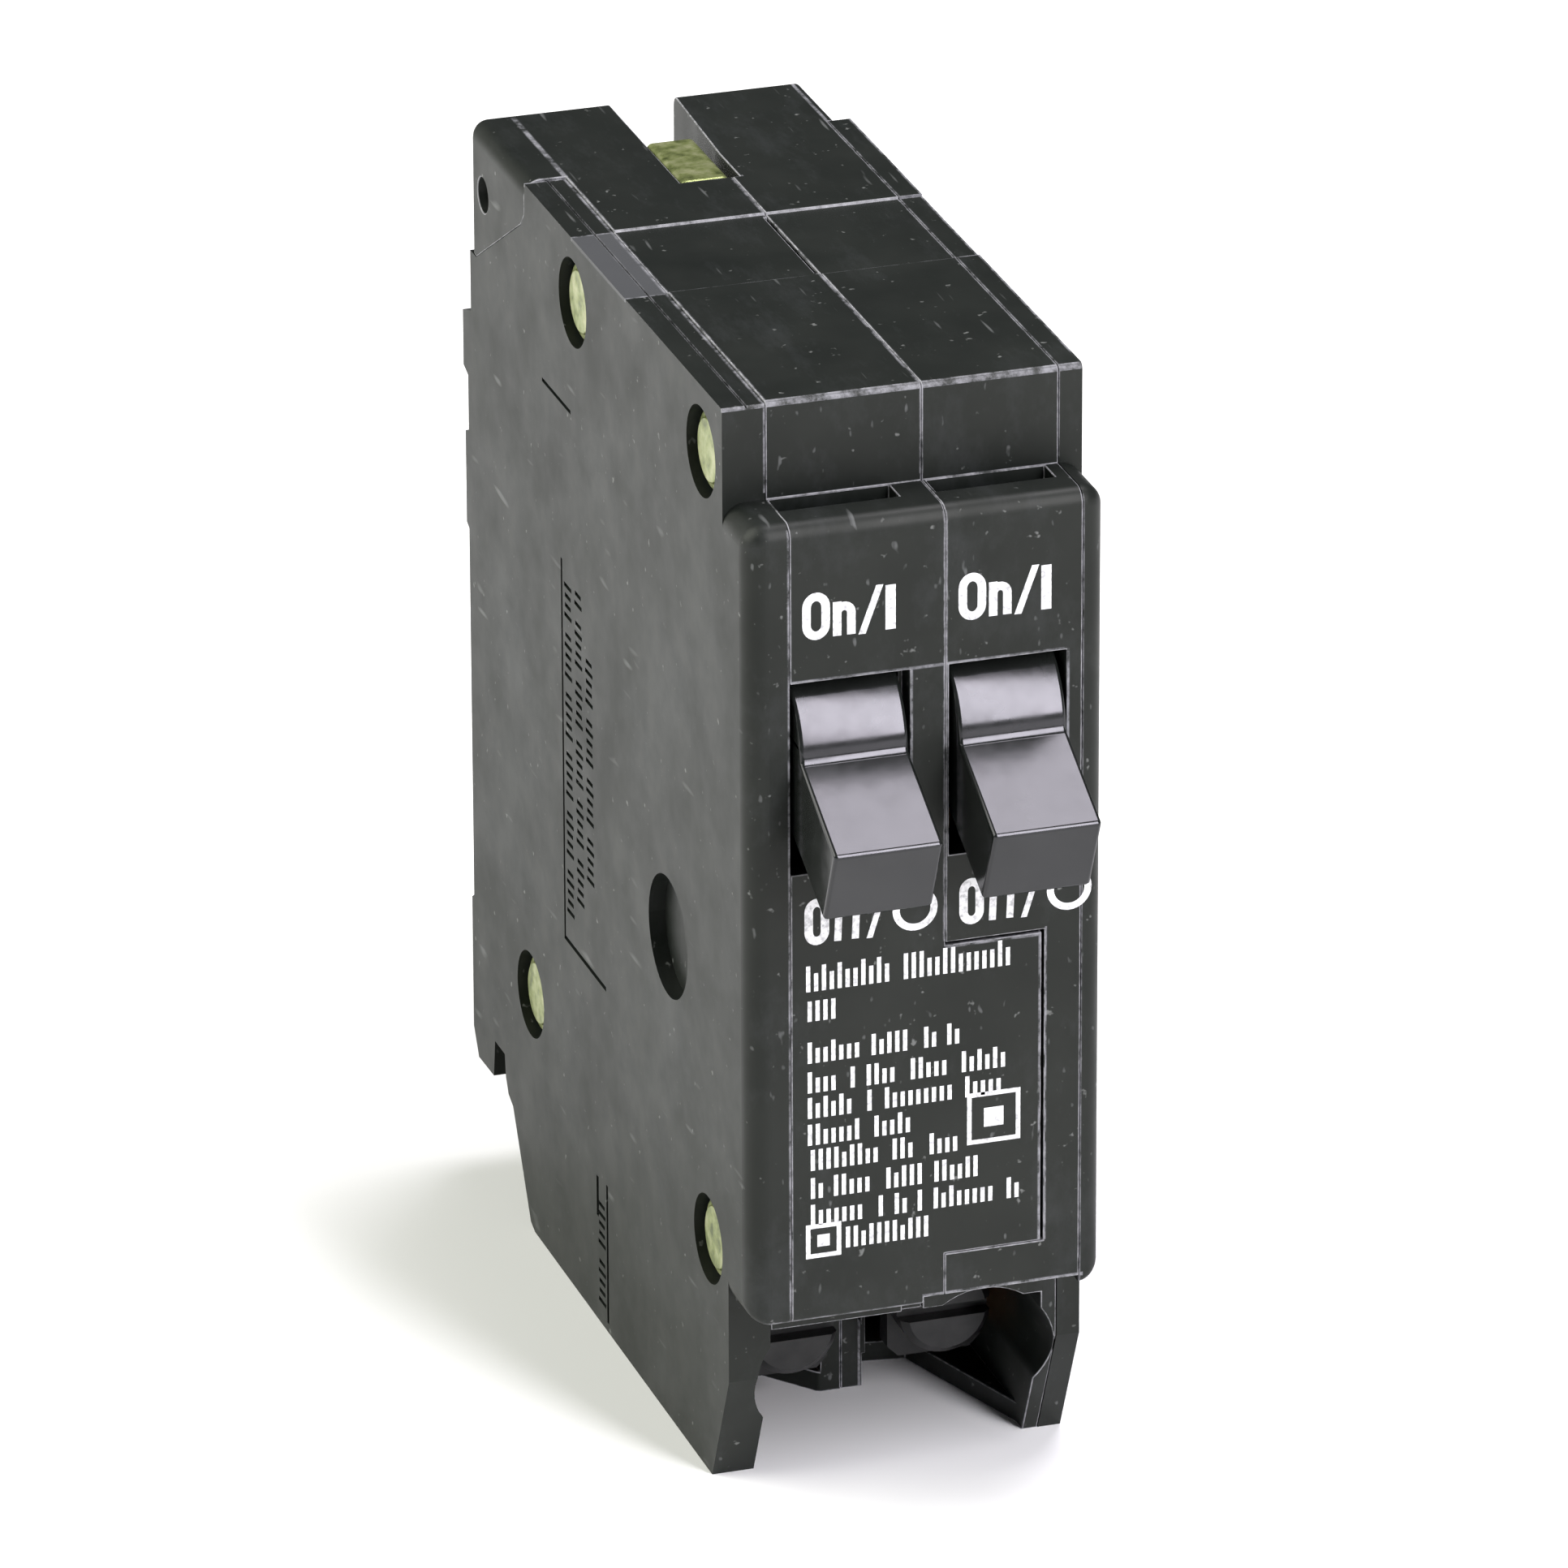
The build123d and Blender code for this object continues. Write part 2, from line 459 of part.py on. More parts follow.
def armature_part(middle):
    with BuildPart() as armature:
        block((middle - 3.2, middle + 3.2), (31.0, 32.2), (19.0, 47.5))
        side_disc(ARMATURE_PIVOT, 1.5, middle - 3.2, middle + 3.2)
        block((middle - 1.3, middle + 1.3), (30, 34), (40.0, 50.0), Mode.SUBTRACT)
        side_disc(ARMATURE_PIVOT, SMALL_PIN + RUNNING, middle - 4, middle + 4, Mode.SUBTRACT)
    return armature.part


def magnet_yoke_part(middle):
    with BuildPart() as magnet_yoke:
        block((middle - 3.8, middle + 3.8), (33.2, 39.4), (24.0, 34.0))
        block((middle - 2.7, middle + 2.7), (30.0, 38.2), (20.0, 40.0), Mode.SUBTRACT)
    return magnet_yoke.part


def bimetal_part(middle):
    with BuildPart() as bimetal:
        block((middle - 2.2, middle + 2.2), (36.2, 37.2), (STRAP_HEIGHT[1], 42.0))
    return bimetal.part


def flexible_braid_part(middle, outward):
    route = [(1.3, 18.6, 52.0), (4.2, 18.6, 52.0), (4.2, 24.5, 39.5), (4.2, 36.7, 37.5), (4.2, 36.7, 40.8),
             (2.25, 36.7, 40.8)]
    with BuildPart() as flexible_braid:
        with BuildLine() as centre:
            FilletPolyline(*[(across(middle + outward * side), depth - ORIGIN_DEPTH, height)
                             for side, depth, height in route], radius=1.2)
        with BuildSketch(Plane(origin=centre.line @ 0, z_dir=centre.line % 0)):
            Circle(0.55)
        sweep()
    return flexible_braid.part


def load_strap_part(middle):
    outline = [
        (STRAP_DEPTH[0], 2.6), (STRAP_DEPTH[1], 2.6), (STRAP_DEPTH[1], STRAP_HEIGHT[0]),
        (44.2, STRAP_HEIGHT[0]),
        (44.2, 19.0), (43.0, 19.0), (43.0, STRAP_HEIGHT[1]), (STRAP_DEPTH[0], STRAP_HEIGHT[1]),
    ]
    with BuildPart() as load_strap:
        side_shape(outline, middle - 3.2, middle + 3.2)
        depth_disc((middle, SCREW_HEIGHT), SCREW_SHANK + RUNNING, 20, 30, Mode.SUBTRACT)
        depth_disc((middle, 15.8), 1.3 + RUNNING, 42, 46, Mode.SUBTRACT)
    return load_strap.part


def calibration_screw_part(middle):
    with BuildPart() as calibration_screw:
        depth_disc((middle, 15.8), 1.3, 37.25, 46.0)
        depth_disc((middle, 15.8), 2.2, 45.6, 47.2)
        block((middle - 3, middle + 3), (46.7, 48), (15.5, 16.1), Mode.SUBTRACT)
    return calibration_screw.part


def clamp_plate_part(middle):
    with BuildPart() as clamp_plate:
        block((middle - 3.4, middle + 3.4), PLATE_DEPTH, (3.6, 11.8))
        chamfer(clamp_plate.edges().filter_by(Axis.Y), length=0.8)
        depth_disc((middle, SCREW_HEIGHT), SCREW_SHANK + 0.2, 14, 18, Mode.SUBTRACT)
    return clamp_plate.part


def terminal_screw_part(middle):
    with BuildPart() as terminal_screw:
        depth_disc((middle, SCREW_HEIGHT), SCREW_HEAD, *HEAD_DEPTH)
        chamfer(terminal_screw.edges().filter_by(GeomType.CIRCLE).group_by(Axis.Y)[0], length=0.5)
        depth_disc((middle, SCREW_HEIGHT), SCREW_SHANK, HEAD_DEPTH[1] - 0.1, SCREW_END)
        block((middle - 4, middle + 4), (HEAD_DEPTH[0] - 1, HEAD_DEPTH[0] + 1.2),
              (SCREW_HEIGHT - 0.5, SCREW_HEIGHT + 0.5), Mode.SUBTRACT)
    return terminal_screw.part


def arc_plates_part(middle):
    with BuildPart() as arc_plates:
        for number in range(6):
            front = 14.4 + 2.4 * number
            block((middle - 3.5, middle + 3.5), (front, front + 0.8), (75.7, 78.8))
    return arc_plates.part


def pivot_pins_part(left, right):
    with BuildPart() as pivot_pins:
        side_disc(ARM_PIVOT, PIN, left, right)
        side_disc(CRADLE_PIVOT, PIN, left, right)
        side_disc(ARMATURE_PIVOT, SMALL_PIN, left, right)
    return pivot_pins.part


PIN_SPANS = {"left": (2.0, 12.0), "right": (13.5, 24.3)}
JAW_TAILS = {"left": 10.7, "right": 13.4}

for side, (middle, outward) in POLES.items():
    save(handle_part(middle), f"handle_{side}")
    save(contact_arm_part(middle), f"contact_arm_{side}")
    save(moving_contact_part(middle), f"moving_contact_{side}")
    save(fixed_contact_part(middle), f"fixed_contact_{side}")
    save(line_strap_part(middle, JAW_TAILS[side]), f"line_strap_{side}")
    save(coil_part((middle, 21.6, 63.8), (middle, 24.6, 57.2), 1.0, 0.22, 9), f"toggle_spring_{side}")
    save(cradle_part(middle), f"cradle_{side}")
    save(armature_part(middle), f"armature_{side}")
    save(coil_part((middle, 32.5, 36.6), (middle, 35.9, 36.6), 1.1, 0.18, 5), f"armature_spring_{side}")
    save(magnet_yoke_part(middle), f"magnet_yoke_{side}")
    save(bimetal_part(middle), f"bimetal_{side}")
    save(flexible_braid_part(middle, outward), f"flexible_braid_{side}")
    save(load_strap_part(middle), f"load_strap_{side}")
    save(calibration_screw_part(middle), f"calibration_screw_{side}")
    save(clamp_plate_part(middle), f"clamp_plate_{side}")
    save(terminal_screw_part(middle), f"terminal_screw_{side}")
    save(arc_plates_part(middle), f"arc_plates_{side}")
    save(pivot_pins_part(*PIN_SPANS[side]), f"pivot_pins_{side}")
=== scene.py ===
import json
import math
import random

import bmesh
import bpy
from mathutils import Matrix, Vector


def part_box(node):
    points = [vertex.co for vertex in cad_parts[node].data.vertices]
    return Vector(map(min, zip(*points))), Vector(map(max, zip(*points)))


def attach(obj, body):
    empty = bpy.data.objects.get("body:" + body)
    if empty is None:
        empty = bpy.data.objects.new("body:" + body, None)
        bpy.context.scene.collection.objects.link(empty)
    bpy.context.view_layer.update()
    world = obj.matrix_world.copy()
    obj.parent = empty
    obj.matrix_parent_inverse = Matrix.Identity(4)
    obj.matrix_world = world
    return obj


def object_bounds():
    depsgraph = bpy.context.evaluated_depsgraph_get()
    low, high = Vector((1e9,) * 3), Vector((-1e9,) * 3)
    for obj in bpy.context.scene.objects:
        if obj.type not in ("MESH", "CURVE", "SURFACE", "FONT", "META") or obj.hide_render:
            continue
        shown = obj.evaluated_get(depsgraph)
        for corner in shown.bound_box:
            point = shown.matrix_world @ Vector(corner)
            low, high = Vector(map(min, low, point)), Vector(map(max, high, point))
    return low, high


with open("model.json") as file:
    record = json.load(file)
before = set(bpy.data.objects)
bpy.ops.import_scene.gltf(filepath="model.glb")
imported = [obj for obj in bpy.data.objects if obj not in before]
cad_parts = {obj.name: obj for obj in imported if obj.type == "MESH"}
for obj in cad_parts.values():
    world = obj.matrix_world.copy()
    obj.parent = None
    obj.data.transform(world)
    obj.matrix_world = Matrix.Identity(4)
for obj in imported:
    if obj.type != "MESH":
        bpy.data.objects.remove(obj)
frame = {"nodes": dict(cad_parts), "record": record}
CAD_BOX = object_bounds()
NODES = frame["nodes"]
MM = 0.001

# Places that come from the frame
LEFT_EDGE = CAD_BOX[0].x               # the case's left face
NOSE_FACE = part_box("left_base")[0].y   # the plane the legends are printed on
PRINT_LIFT = 0.012 * MM                # thickness of the ink


# ---- camera, floor and light ----
CAMERA_AZIMUTH = 17.98       # degrees round from the front, towards the left side
CAMERA_ELEVATION = 23.19
CAMERA_ROLL = -0.20
CAMERA_DISTANCE = 944.1 * MM
CAMERA_TARGET = Vector((-0.6, 0.9, 41.8)) * MM
CAMERA_LENS = 312.3
CAMERA_SENSOR = 36
FLOOR_REACH = 3.0
LIGHT_TARGET = (0, 0, 0.04)

# Name, place, size, power and colour of each light
LIGHTS = [
    ("overhead", (0.32, 0.20, 1.15), (0.46, 0.46), 7.5, (0.97, 0.94, 1.0)),
    ("front", (0.36, -0.985, 0.776), (0.26, 1.45), 24, (0.97, 0.95, 1.0)),
    ("left", (-1.3, 0.5, 1.0), (1.7, 1.7), 42, (0.99, 1.0, 0.91)),
]


def aim(thing, place, target, roll=0.0):
    """Put a camera or light at a place and point it at a target."""
    thing.location = place
    look = (Vector(target) - Vector(place)).to_track_quat("-Z", "Y")
    thing.rotation_euler = (look @ Matrix.Rotation(roll, 3, "Z").to_quaternion()).to_euler()


def make_camera():
    azimuth = math.radians(CAMERA_AZIMUTH)
    elevation = math.radians(CAMERA_ELEVATION)
    away = Vector((-math.sin(azimuth) * math.cos(elevation), -math.cos(azimuth) * math.cos(elevation),
                   math.sin(elevation)))
    data = bpy.data.cameras.new("camera")
    data.sensor_width = CAMERA_SENSOR
    data.lens = CAMERA_LENS
    camera = bpy.data.objects.new("camera", data)
    bpy.context.scene.collection.objects.link(camera)
    aim(camera, CAMERA_TARGET + away * CAMERA_DISTANCE, CAMERA_TARGET, math.radians(CAMERA_ROLL))
    bpy.context.scene.camera = camera


def area_light(name, place, size, power, color):
    data = bpy.data.lights.new(name, "AREA")
    data.shape = "RECTANGLE"
    data.size = size[0]
    data.size_y = size[1]
    data.energy = power
    data.color = color
    lamp = bpy.data.objects.new(name, data)
    bpy.context.scene.collection.objects.link(lamp)
    aim(lamp, place, LIGHT_TARGET)


def make_stage():
    mesh = bpy.data.meshes.new("floor")
    corners = [(FLOOR_REACH * x, FLOOR_REACH * y, 0) for x, y in ((-1, -1), (1, -1), (1, 1), (-1, 1))]
    mesh.from_pydata(corners, [], [(0, 1, 2, 3)])
    floor = bpy.data.objects.new("floor", mesh)
    bpy.context.scene.collection.objects.link(floor)
    floor.data.materials.append(floor_material())
    world = bpy.data.worlds.new("world")
    bpy.context.scene.world = world
    world.use_nodes = True
    background = world.node_tree.nodes["Background"]
    background.inputs["Color"].default_value = (0.95, 0.97, 1.0, 1)
    background.inputs["Strength"].default_value = 0.10
    for row in LIGHTS:
        area_light(*row)
    bpy.context.scene.view_settings.view_transform = "Standard"


# ---- material tools ----
def blank_material(name):
    material = bpy.data.materials.new(name)
    material.use_nodes = True
    tree = material.node_tree
    shader = tree.nodes["Principled BSDF"]
    place = tree.nodes.new("ShaderNodeTexCoord").outputs["Object"]
    return material, tree, shader, place


def noise(tree, place, size_mm, detail=3.0, stretch=(1, 1, 1), roughness=0.55):
    """Noise whose blobs are about size_mm across."""
    mapping = tree.nodes.new("ShaderNodeMapping")
    mapping.inputs["Scale"].default_value = stretch
    tree.links.new(place, mapping.inputs["Vector"])
    texture = tree.nodes.new("ShaderNodeTexNoise")
    texture.inputs["Scale"].default_value = 1000.0 / size_mm
    texture.inputs["Detail"].default_value = detail
    texture.inputs["Roughness"].default_value = roughness
    tree.links.new(mapping.outputs["Vector"], texture.inputs["Vector"])
    return texture.outputs["Fac"]


def ramp(tree, value, stops):
    """Colour ramp; stops are (position, colour or grey value)."""
    node = tree.nodes.new("ShaderNodeValToRGB")
    elements = node.color_ramp.elements
    while len(elements) < len(stops):
        elements.new(0.5)
    for element, (position, color) in zip(elements, stops):
        element.position = position
        element.color = (color, color, color, 1) if isinstance(color, float) else (*color, 1)
    tree.links.new(value, node.inputs["Fac"])
    return node.outputs["Color"]


def mix(tree, factor, low, high):
    node = tree.nodes.new("ShaderNodeMix")
    node.data_type = "RGBA"
    for socket, value in ((node.inputs[0], factor), (node.inputs[6], low), (node.inputs[7], high)):
        if isinstance(value, bpy.types.NodeSocket):
            tree.links.new(value, socket)
        elif isinstance(value, tuple):
            socket.default_value = (*value, 1)
        else:
            socket.default_value = value
    return node.outputs[2]


def add_bump(tree, shader, height, strength, depth_mm):
    bump = tree.nodes.new("ShaderNodeBump")
    bump.inputs["Strength"].default_value = strength
    bump.inputs["Distance"].default_value = depth_mm * MM
    tree.links.new(height, bump.inputs["Height"])
    tree.links.new(bump.outputs["Normal"], shader.inputs["Normal"])


def maths(tree, operation, first, second=None):
    """A maths node's result; each input is a socket or a plain number."""
    node = tree.nodes.new("ShaderNodeMath")
    node.operation = operation
    for socket, value in zip(node.inputs, (first, second)):
        if isinstance(value, bpy.types.NodeSocket):
            tree.links.new(value, socket)
        elif value is not None:
            socket.default_value = value
    return node.outputs[0]


def inside_box(tree, place, low, high):
    """1 where a point is inside a box between two corners, and 0 elsewhere."""
    parts = tree.nodes.new("ShaderNodeSeparateXYZ")
    tree.links.new(place, parts.inputs[0])
    result = None
    for axis in range(3):
        for operation, limit in (("GREATER_THAN", low[axis]), ("LESS_THAN", high[axis])):
            test = maths(tree, operation, parts.outputs[axis], limit)
            result = test if result is None else maths(tree, "MULTIPLY", result, test)
    return result


def floor_material():
    material, tree, shader, place = blank_material("floor")
    tone = ramp(tree, noise(tree, place, 90.0), [(0.3, (0.92, 0.92, 0.92)), (0.7, (0.95, 0.95, 0.95))])
    tree.links.new(tone, shader.inputs["Base Color"])
    shader.inputs["Roughness"].default_value = 0.7
    return material


def case_color(tree, place):
    """Moulded phenolic: near black with a faint green cast, cloudy, with pale specks and hair scratches."""
    cloud = ramp(tree, noise(tree, place, 9.0), [(0.30, (0.0045, 0.0062, 0.0052)),
                                                 (0.75, (0.0105, 0.0125, 0.0108))])
    speck = ramp(tree, noise(tree, place, 0.8, 2.0), [(0.70, 0.0), (0.77, 0.7)])
    scratch = ramp(tree, noise(tree, place, 0.6, 1.0, (1.0, 0.10, 0.5)), [(0.72, 0.0), (0.80, 0.5)])
    rubbed = ramp(tree, noise(tree, place, 6.0, 6.0, (1.0, 0.35, 0.6), 0.75), [(0.52, 0.0), (0.72, 0.35)])
    color = mix(tree, rubbed, cloud, (0.035, 0.038, 0.040))
    color = mix(tree, speck, color, (0.17, 0.175, 0.17))
    color = mix(tree, scratch, color, (0.15, 0.155, 0.155))
    color = mix(tree, inside_box(tree, place, *RUBBED_PATCH), color, (0.060, 0.062, 0.066))
    return mix(tree, worn_lines(tree, place), color, (0.24, 0.24, 0.26))


# Lines where the case's edges and seams are rubbed pale: axis and place of the line, half its width, and the
# low and high corners of the stretch it runs over. Millimetres from the left face, behind the nose and up.
TOP = ((-1, 4, 80.1), (26, 64, 81))
SHOULDER = ((-1, 4.9, 74), (26, 5.5, 81))
NOSE = ((-1, -1, 14), (26, 0.3, 73.2))
WORN_LINES = [
    # along the top
    ("X", 3.0, 0.19, *TOP),
    ("X", 1.69, 0.10, (0, 4, 80.1), (3, 50, 81)),
    ("X", 13.95, 0.18, (12, 4, 80.1), (16, 46, 81)),
    ("X", 23.7, 0.13, *TOP),
    ("X", 25.4, 0.15, *TOP),
    ("X", 10.2, 0.10, (9, 46, 80.1), (11, 64, 81)),
    # across the top
    ("Y", 5.2, 0.13, *TOP),
    ("Y", 26.6, 0.11, *TOP),
    ("Y", 38.9, 0.11, *TOP),
    ("Y", 50.0, 0.16, (-1, 49, 80.1), (3.2, 51, 81)),
    ("Y", 46.3, 0.14, (10, 45, 80.1), (14.8, 47, 81)),
    # down the shoulder
    ("Z", 80.55, 0.14, *SHOULDER),
    ("X", 3.0, 0.13, *SHOULDER),
    ("X", 14.0, 0.13, *SHOULDER),
    ("X", 23.7, 0.10, *SHOULDER),
    # seams of the nose
    ("X", 3.0, 0.14, *NOSE),
    ("X", 14.0, 0.15, (13, -1, 41.9), (15, 0.3, 73.2)),
    ("X", 23.7, 0.11, *NOSE),
    ("X", 14.0, 0.10, (13, -1, 14), (15, 0.3, 18.6)),
    # round the handle windows
    ("Z", 62.2, 0.12, (3, -1, 61), (22.6, 0.3, 63)),
    ("X", 11.6, 0.10, (11, -1, 48), (12, 0.3, 62.2)),
    ("X", 22.7, 0.10, (22, -1, 48), (23, 0.3, 62.2)),
    # round the label tongue
    ("Z", 41.5, 0.14, (14, -1, 41), (21, 0.3, 42)),
    ("X", 20.8, 0.12, (20, -1, 18.6), (21, 0.3, 41.7)),
    ("X", 21.2, 0.08, (21, -1, 18.6), (22, 0.3, 42)),
    ("Z", 18.6, 0.10, (14, -1, 18), (21, 0.3, 19)),
    # along the nose's lower edge
    ("Z", 15.0, 0.14, (0, -1, 14), (12.5, 0.3, 16)),
    ("Z", 15.6, 0.14, (12.4, -1, 15), (24, 0.3, 16)),
]
LINE_CORE = 0.55   # share of the half width that is rubbed fully
LINE_FADE = 1.25   # and where the rubbing ends


def case_point(point):
    """A place in case millimetres as a place in the frame's metres."""
    return (LEFT_EDGE + point[0] * MM, NOSE_FACE + point[1] * MM, point[2] * MM)


RUBBED_PATCH = (case_point((-1, 26.6, 80.1)), case_point((3.02, 38.9, 81)))


def worn_lines(tree, place):
    """How strongly each point is rubbed pale, from the list of worn lines, broken up by noise."""
    parts = tree.nodes.new("ShaderNodeSeparateXYZ")
    tree.links.new(place, parts.inputs[0])
    strongest = None
    for axis, line, half, low, high in WORN_LINES:
        index = "XYZ".index(axis)
        away = maths(tree, "SUBTRACT", parts.outputs[index], case_point((line, line, line))[index])
        fade = tree.nodes.new("ShaderNodeMapRange")
        tree.links.new(maths(tree, "ABSOLUTE", away), fade.inputs["Value"])
        fade.inputs["From Min"].default_value = half * LINE_CORE * MM
        fade.inputs["From Max"].default_value = half * LINE_FADE * MM
        fade.inputs["To Min"].default_value = 1.0
        fade.inputs["To Max"].default_value = 0.0
        stretch = inside_box(tree, place, case_point(low), case_point(high))
        rubbed = maths(tree, "MULTIPLY", fade.outputs[0], stretch)
        strongest = rubbed if strongest is None else maths(tree, "MAXIMUM", strongest, rubbed)
    wear = ramp(tree, noise(tree, place, 1.6, 6.0, roughness=0.75), [(0.40, 0.05), (0.60, 0.9)])
    return maths(tree, "MULTIPLY", strongest, wear)


def case_material():
    material, tree, shader, place = blank_material("case")
    tree.links.new(case_color(tree, place), shader.inputs["Base Color"])
    rough = ramp(tree, noise(tree, place, 5.0), [(0.3, 0.42), (0.7, 0.52)])
    tree.links.new(rough, shader.inputs["Roughness"])
    shader.inputs["Specular IOR Level"].default_value = 0.26
    shader.inputs["Specular Tint"].default_value = (1.0, 1.0, 0.95, 1)
    add_bump(tree, shader, noise(tree, place, 0.35, 4.0), 0.15, 0.015)
    return material


def worn_edge_material():
    """Edges rubbed pale, broken where the wear is lighter."""
    material, tree, shader, place = blank_material("worn_edge")
    wear = ramp(tree, noise(tree, place, 2.2, 6.0, roughness=0.75), [(0.36, 0.0), (0.50, 1.0)])
    tone = ramp(tree, noise(tree, place, 0.5, 3.0), [(0.3, (0.16, 0.16, 0.17)), (0.7, (0.34, 0.34, 0.36))])
    tree.links.new(mix(tree, wear, (0.035, 0.038, 0.037), tone), shader.inputs["Base Color"])
    shader.inputs["Roughness"].default_value = 0.55
    shader.inputs["Specular IOR Level"].default_value = 0.36
    add_bump(tree, shader, noise(tree, place, 0.5, 4.0), 0.3, 0.02)
    return material


def handle_material():
    material, tree, shader, place = blank_material("handle")
    tone = ramp(tree, noise(tree, place, 4.0), [(0.3, (0.007, 0.0085, 0.0075)),
                                                (0.7, (0.013, 0.0145, 0.0135))])
    tree.links.new(tone, shader.inputs["Base Color"])
    rough = ramp(tree, noise(tree, place, 1.6, 5.0), [(0.3, 0.12), (0.75, 0.20)])
    tree.links.new(rough, shader.inputs["Roughness"])
    shader.inputs["Specular IOR Level"].default_value = 0.42
    shader.inputs["Specular Tint"].default_value = (0.95, 0.93, 1.0, 1)
    add_bump(tree, shader, noise(tree, place, 1.2, 4.0), 0.12, 0.02)
    return material


def metal_material(name, stops, metallic, rough, grain_mm, bump=0.25):
    material, tree, shader, place = blank_material(name)
    tree.links.new(ramp(tree, noise(tree, place, grain_mm, 5.0), stops), shader.inputs["Base Color"])
    shader.inputs["Metallic"].default_value = metallic
    finish = ramp(tree, noise(tree, place, grain_mm * 0.6, 4.0), [(0.3, rough - 0.06), (0.7, rough + 0.08)])
    tree.links.new(finish, shader.inputs["Roughness"])
    add_bump(tree, shader, noise(tree, place, 0.3, 4.0), bump, 0.03)
    return material


def ink_material():
    material, tree, shader, place = blank_material("ink")
    tone = ramp(tree, noise(tree, place, 0.35, 3.0), [(0.32, (0.42, 0.42, 0.43)),
                                                      (0.55, (0.82, 0.82, 0.83))])
    tree.links.new(tone, shader.inputs["Base Color"])
    shader.inputs["Roughness"].default_value = 0.55
    return material


MATERIALS = {
    "case": case_material(),
    "handle": handle_material(),
    "zinc": metal_material("zinc", [(0.32, (0.08, 0.10, 0.028)),
                                    (0.48, (0.23, 0.265, 0.095)),
                                    (0.68, (0.39, 0.405, 0.22))], 0.6, 0.34, 1.2),
    # dark_steel: the screws and clamps inside the case, coloured near black as painted shade for the unlit
    # inside of the case
    "dark_steel": metal_material("dark_steel", [(0.3, (0.006, 0.006, 0.006)),
                                                (0.7, (0.016, 0.016, 0.016))], 0.3, 0.45, 2.0),
    "copper": metal_material("copper", [(0.3, (0.48, 0.21, 0.10)),
                                        (0.7, (0.66, 0.34, 0.2))], 1.0, 0.35, 3.0),
    "steel": metal_material("steel", [(0.3, (0.30, 0.30, 0.31)),
                                      (0.7, (0.46, 0.46, 0.47))], 1.0, 0.38, 3.0),
    "silver": metal_material("silver", [(0.3, (0.62, 0.61, 0.58)),
                                        (0.7, (0.8, 0.79, 0.76))], 1.0, 0.3, 2.0),
    "bimetal": metal_material("bimetal", [(0.3, (0.34, 0.31, 0.27)),
                                          (0.7, (0.5, 0.46, 0.4))], 1.0, 0.36, 3.0),
}
WORN_EDGE = worn_edge_material()
INK = ink_material()


# ---- CAD nodes ----
WELD_GAP = 1e-6
FLAT_ANGLE = 0.4     # faces that meet below this angle are merged, in degrees
EDGE_ANGLE = 38      # edges sharper than this are rounded, in degrees

# How wide the rounded edges are, in millimetres, and whether they are rubbed pale
ROUNDED = {
    "left_base": (0.08, True),
    "right_base": (0.08, True),
    "handle_left": (0.3, False),
    "handle_right": (0.3, False),
    "case_rivets": (0.12, False),
    "stab_jaw": (0.12, False),
}


def soften(node, width_mm, worn):
    """Small rounded edges on a CAD node, so that they catch the light; worn ones use the second material."""
    weld = node.modifiers.new("weld", "WELD")
    weld.merge_threshold = WELD_GAP
    flat = node.modifiers.new("flat", "DECIMATE")
    flat.decimate_type = "DISSOLVE"
    flat.angle_limit = math.radians(FLAT_ANGLE)
    bevel = node.modifiers.new("edges", "BEVEL")
    bevel.width = width_mm * MM
    bevel.segments = 2
    bevel.limit_method = "ANGLE"
    bevel.angle_limit = math.radians(EDGE_ANGLE)
    bevel.use_clamp_overlap = False
    if worn:
        bevel.material = 1
    normals = node.modifiers.new("normals", "WEIGHTED_NORMAL")
    normals.keep_sharp = False
    normals.weight = 100


def finish_nodes():
    slots = {row["node"]: row["material_slot"] for row in frame["record"]["subparts"]}
    for name, node in NODES.items():
        node.data.materials.clear()
        node.data.materials.append(MATERIALS[slots[name]])
    for name, (width_mm, worn) in ROUNDED.items():
        if worn:
            NODES[name].data.materials.append(WORN_EDGE)
        soften(NODES[name], width_mm, worn)


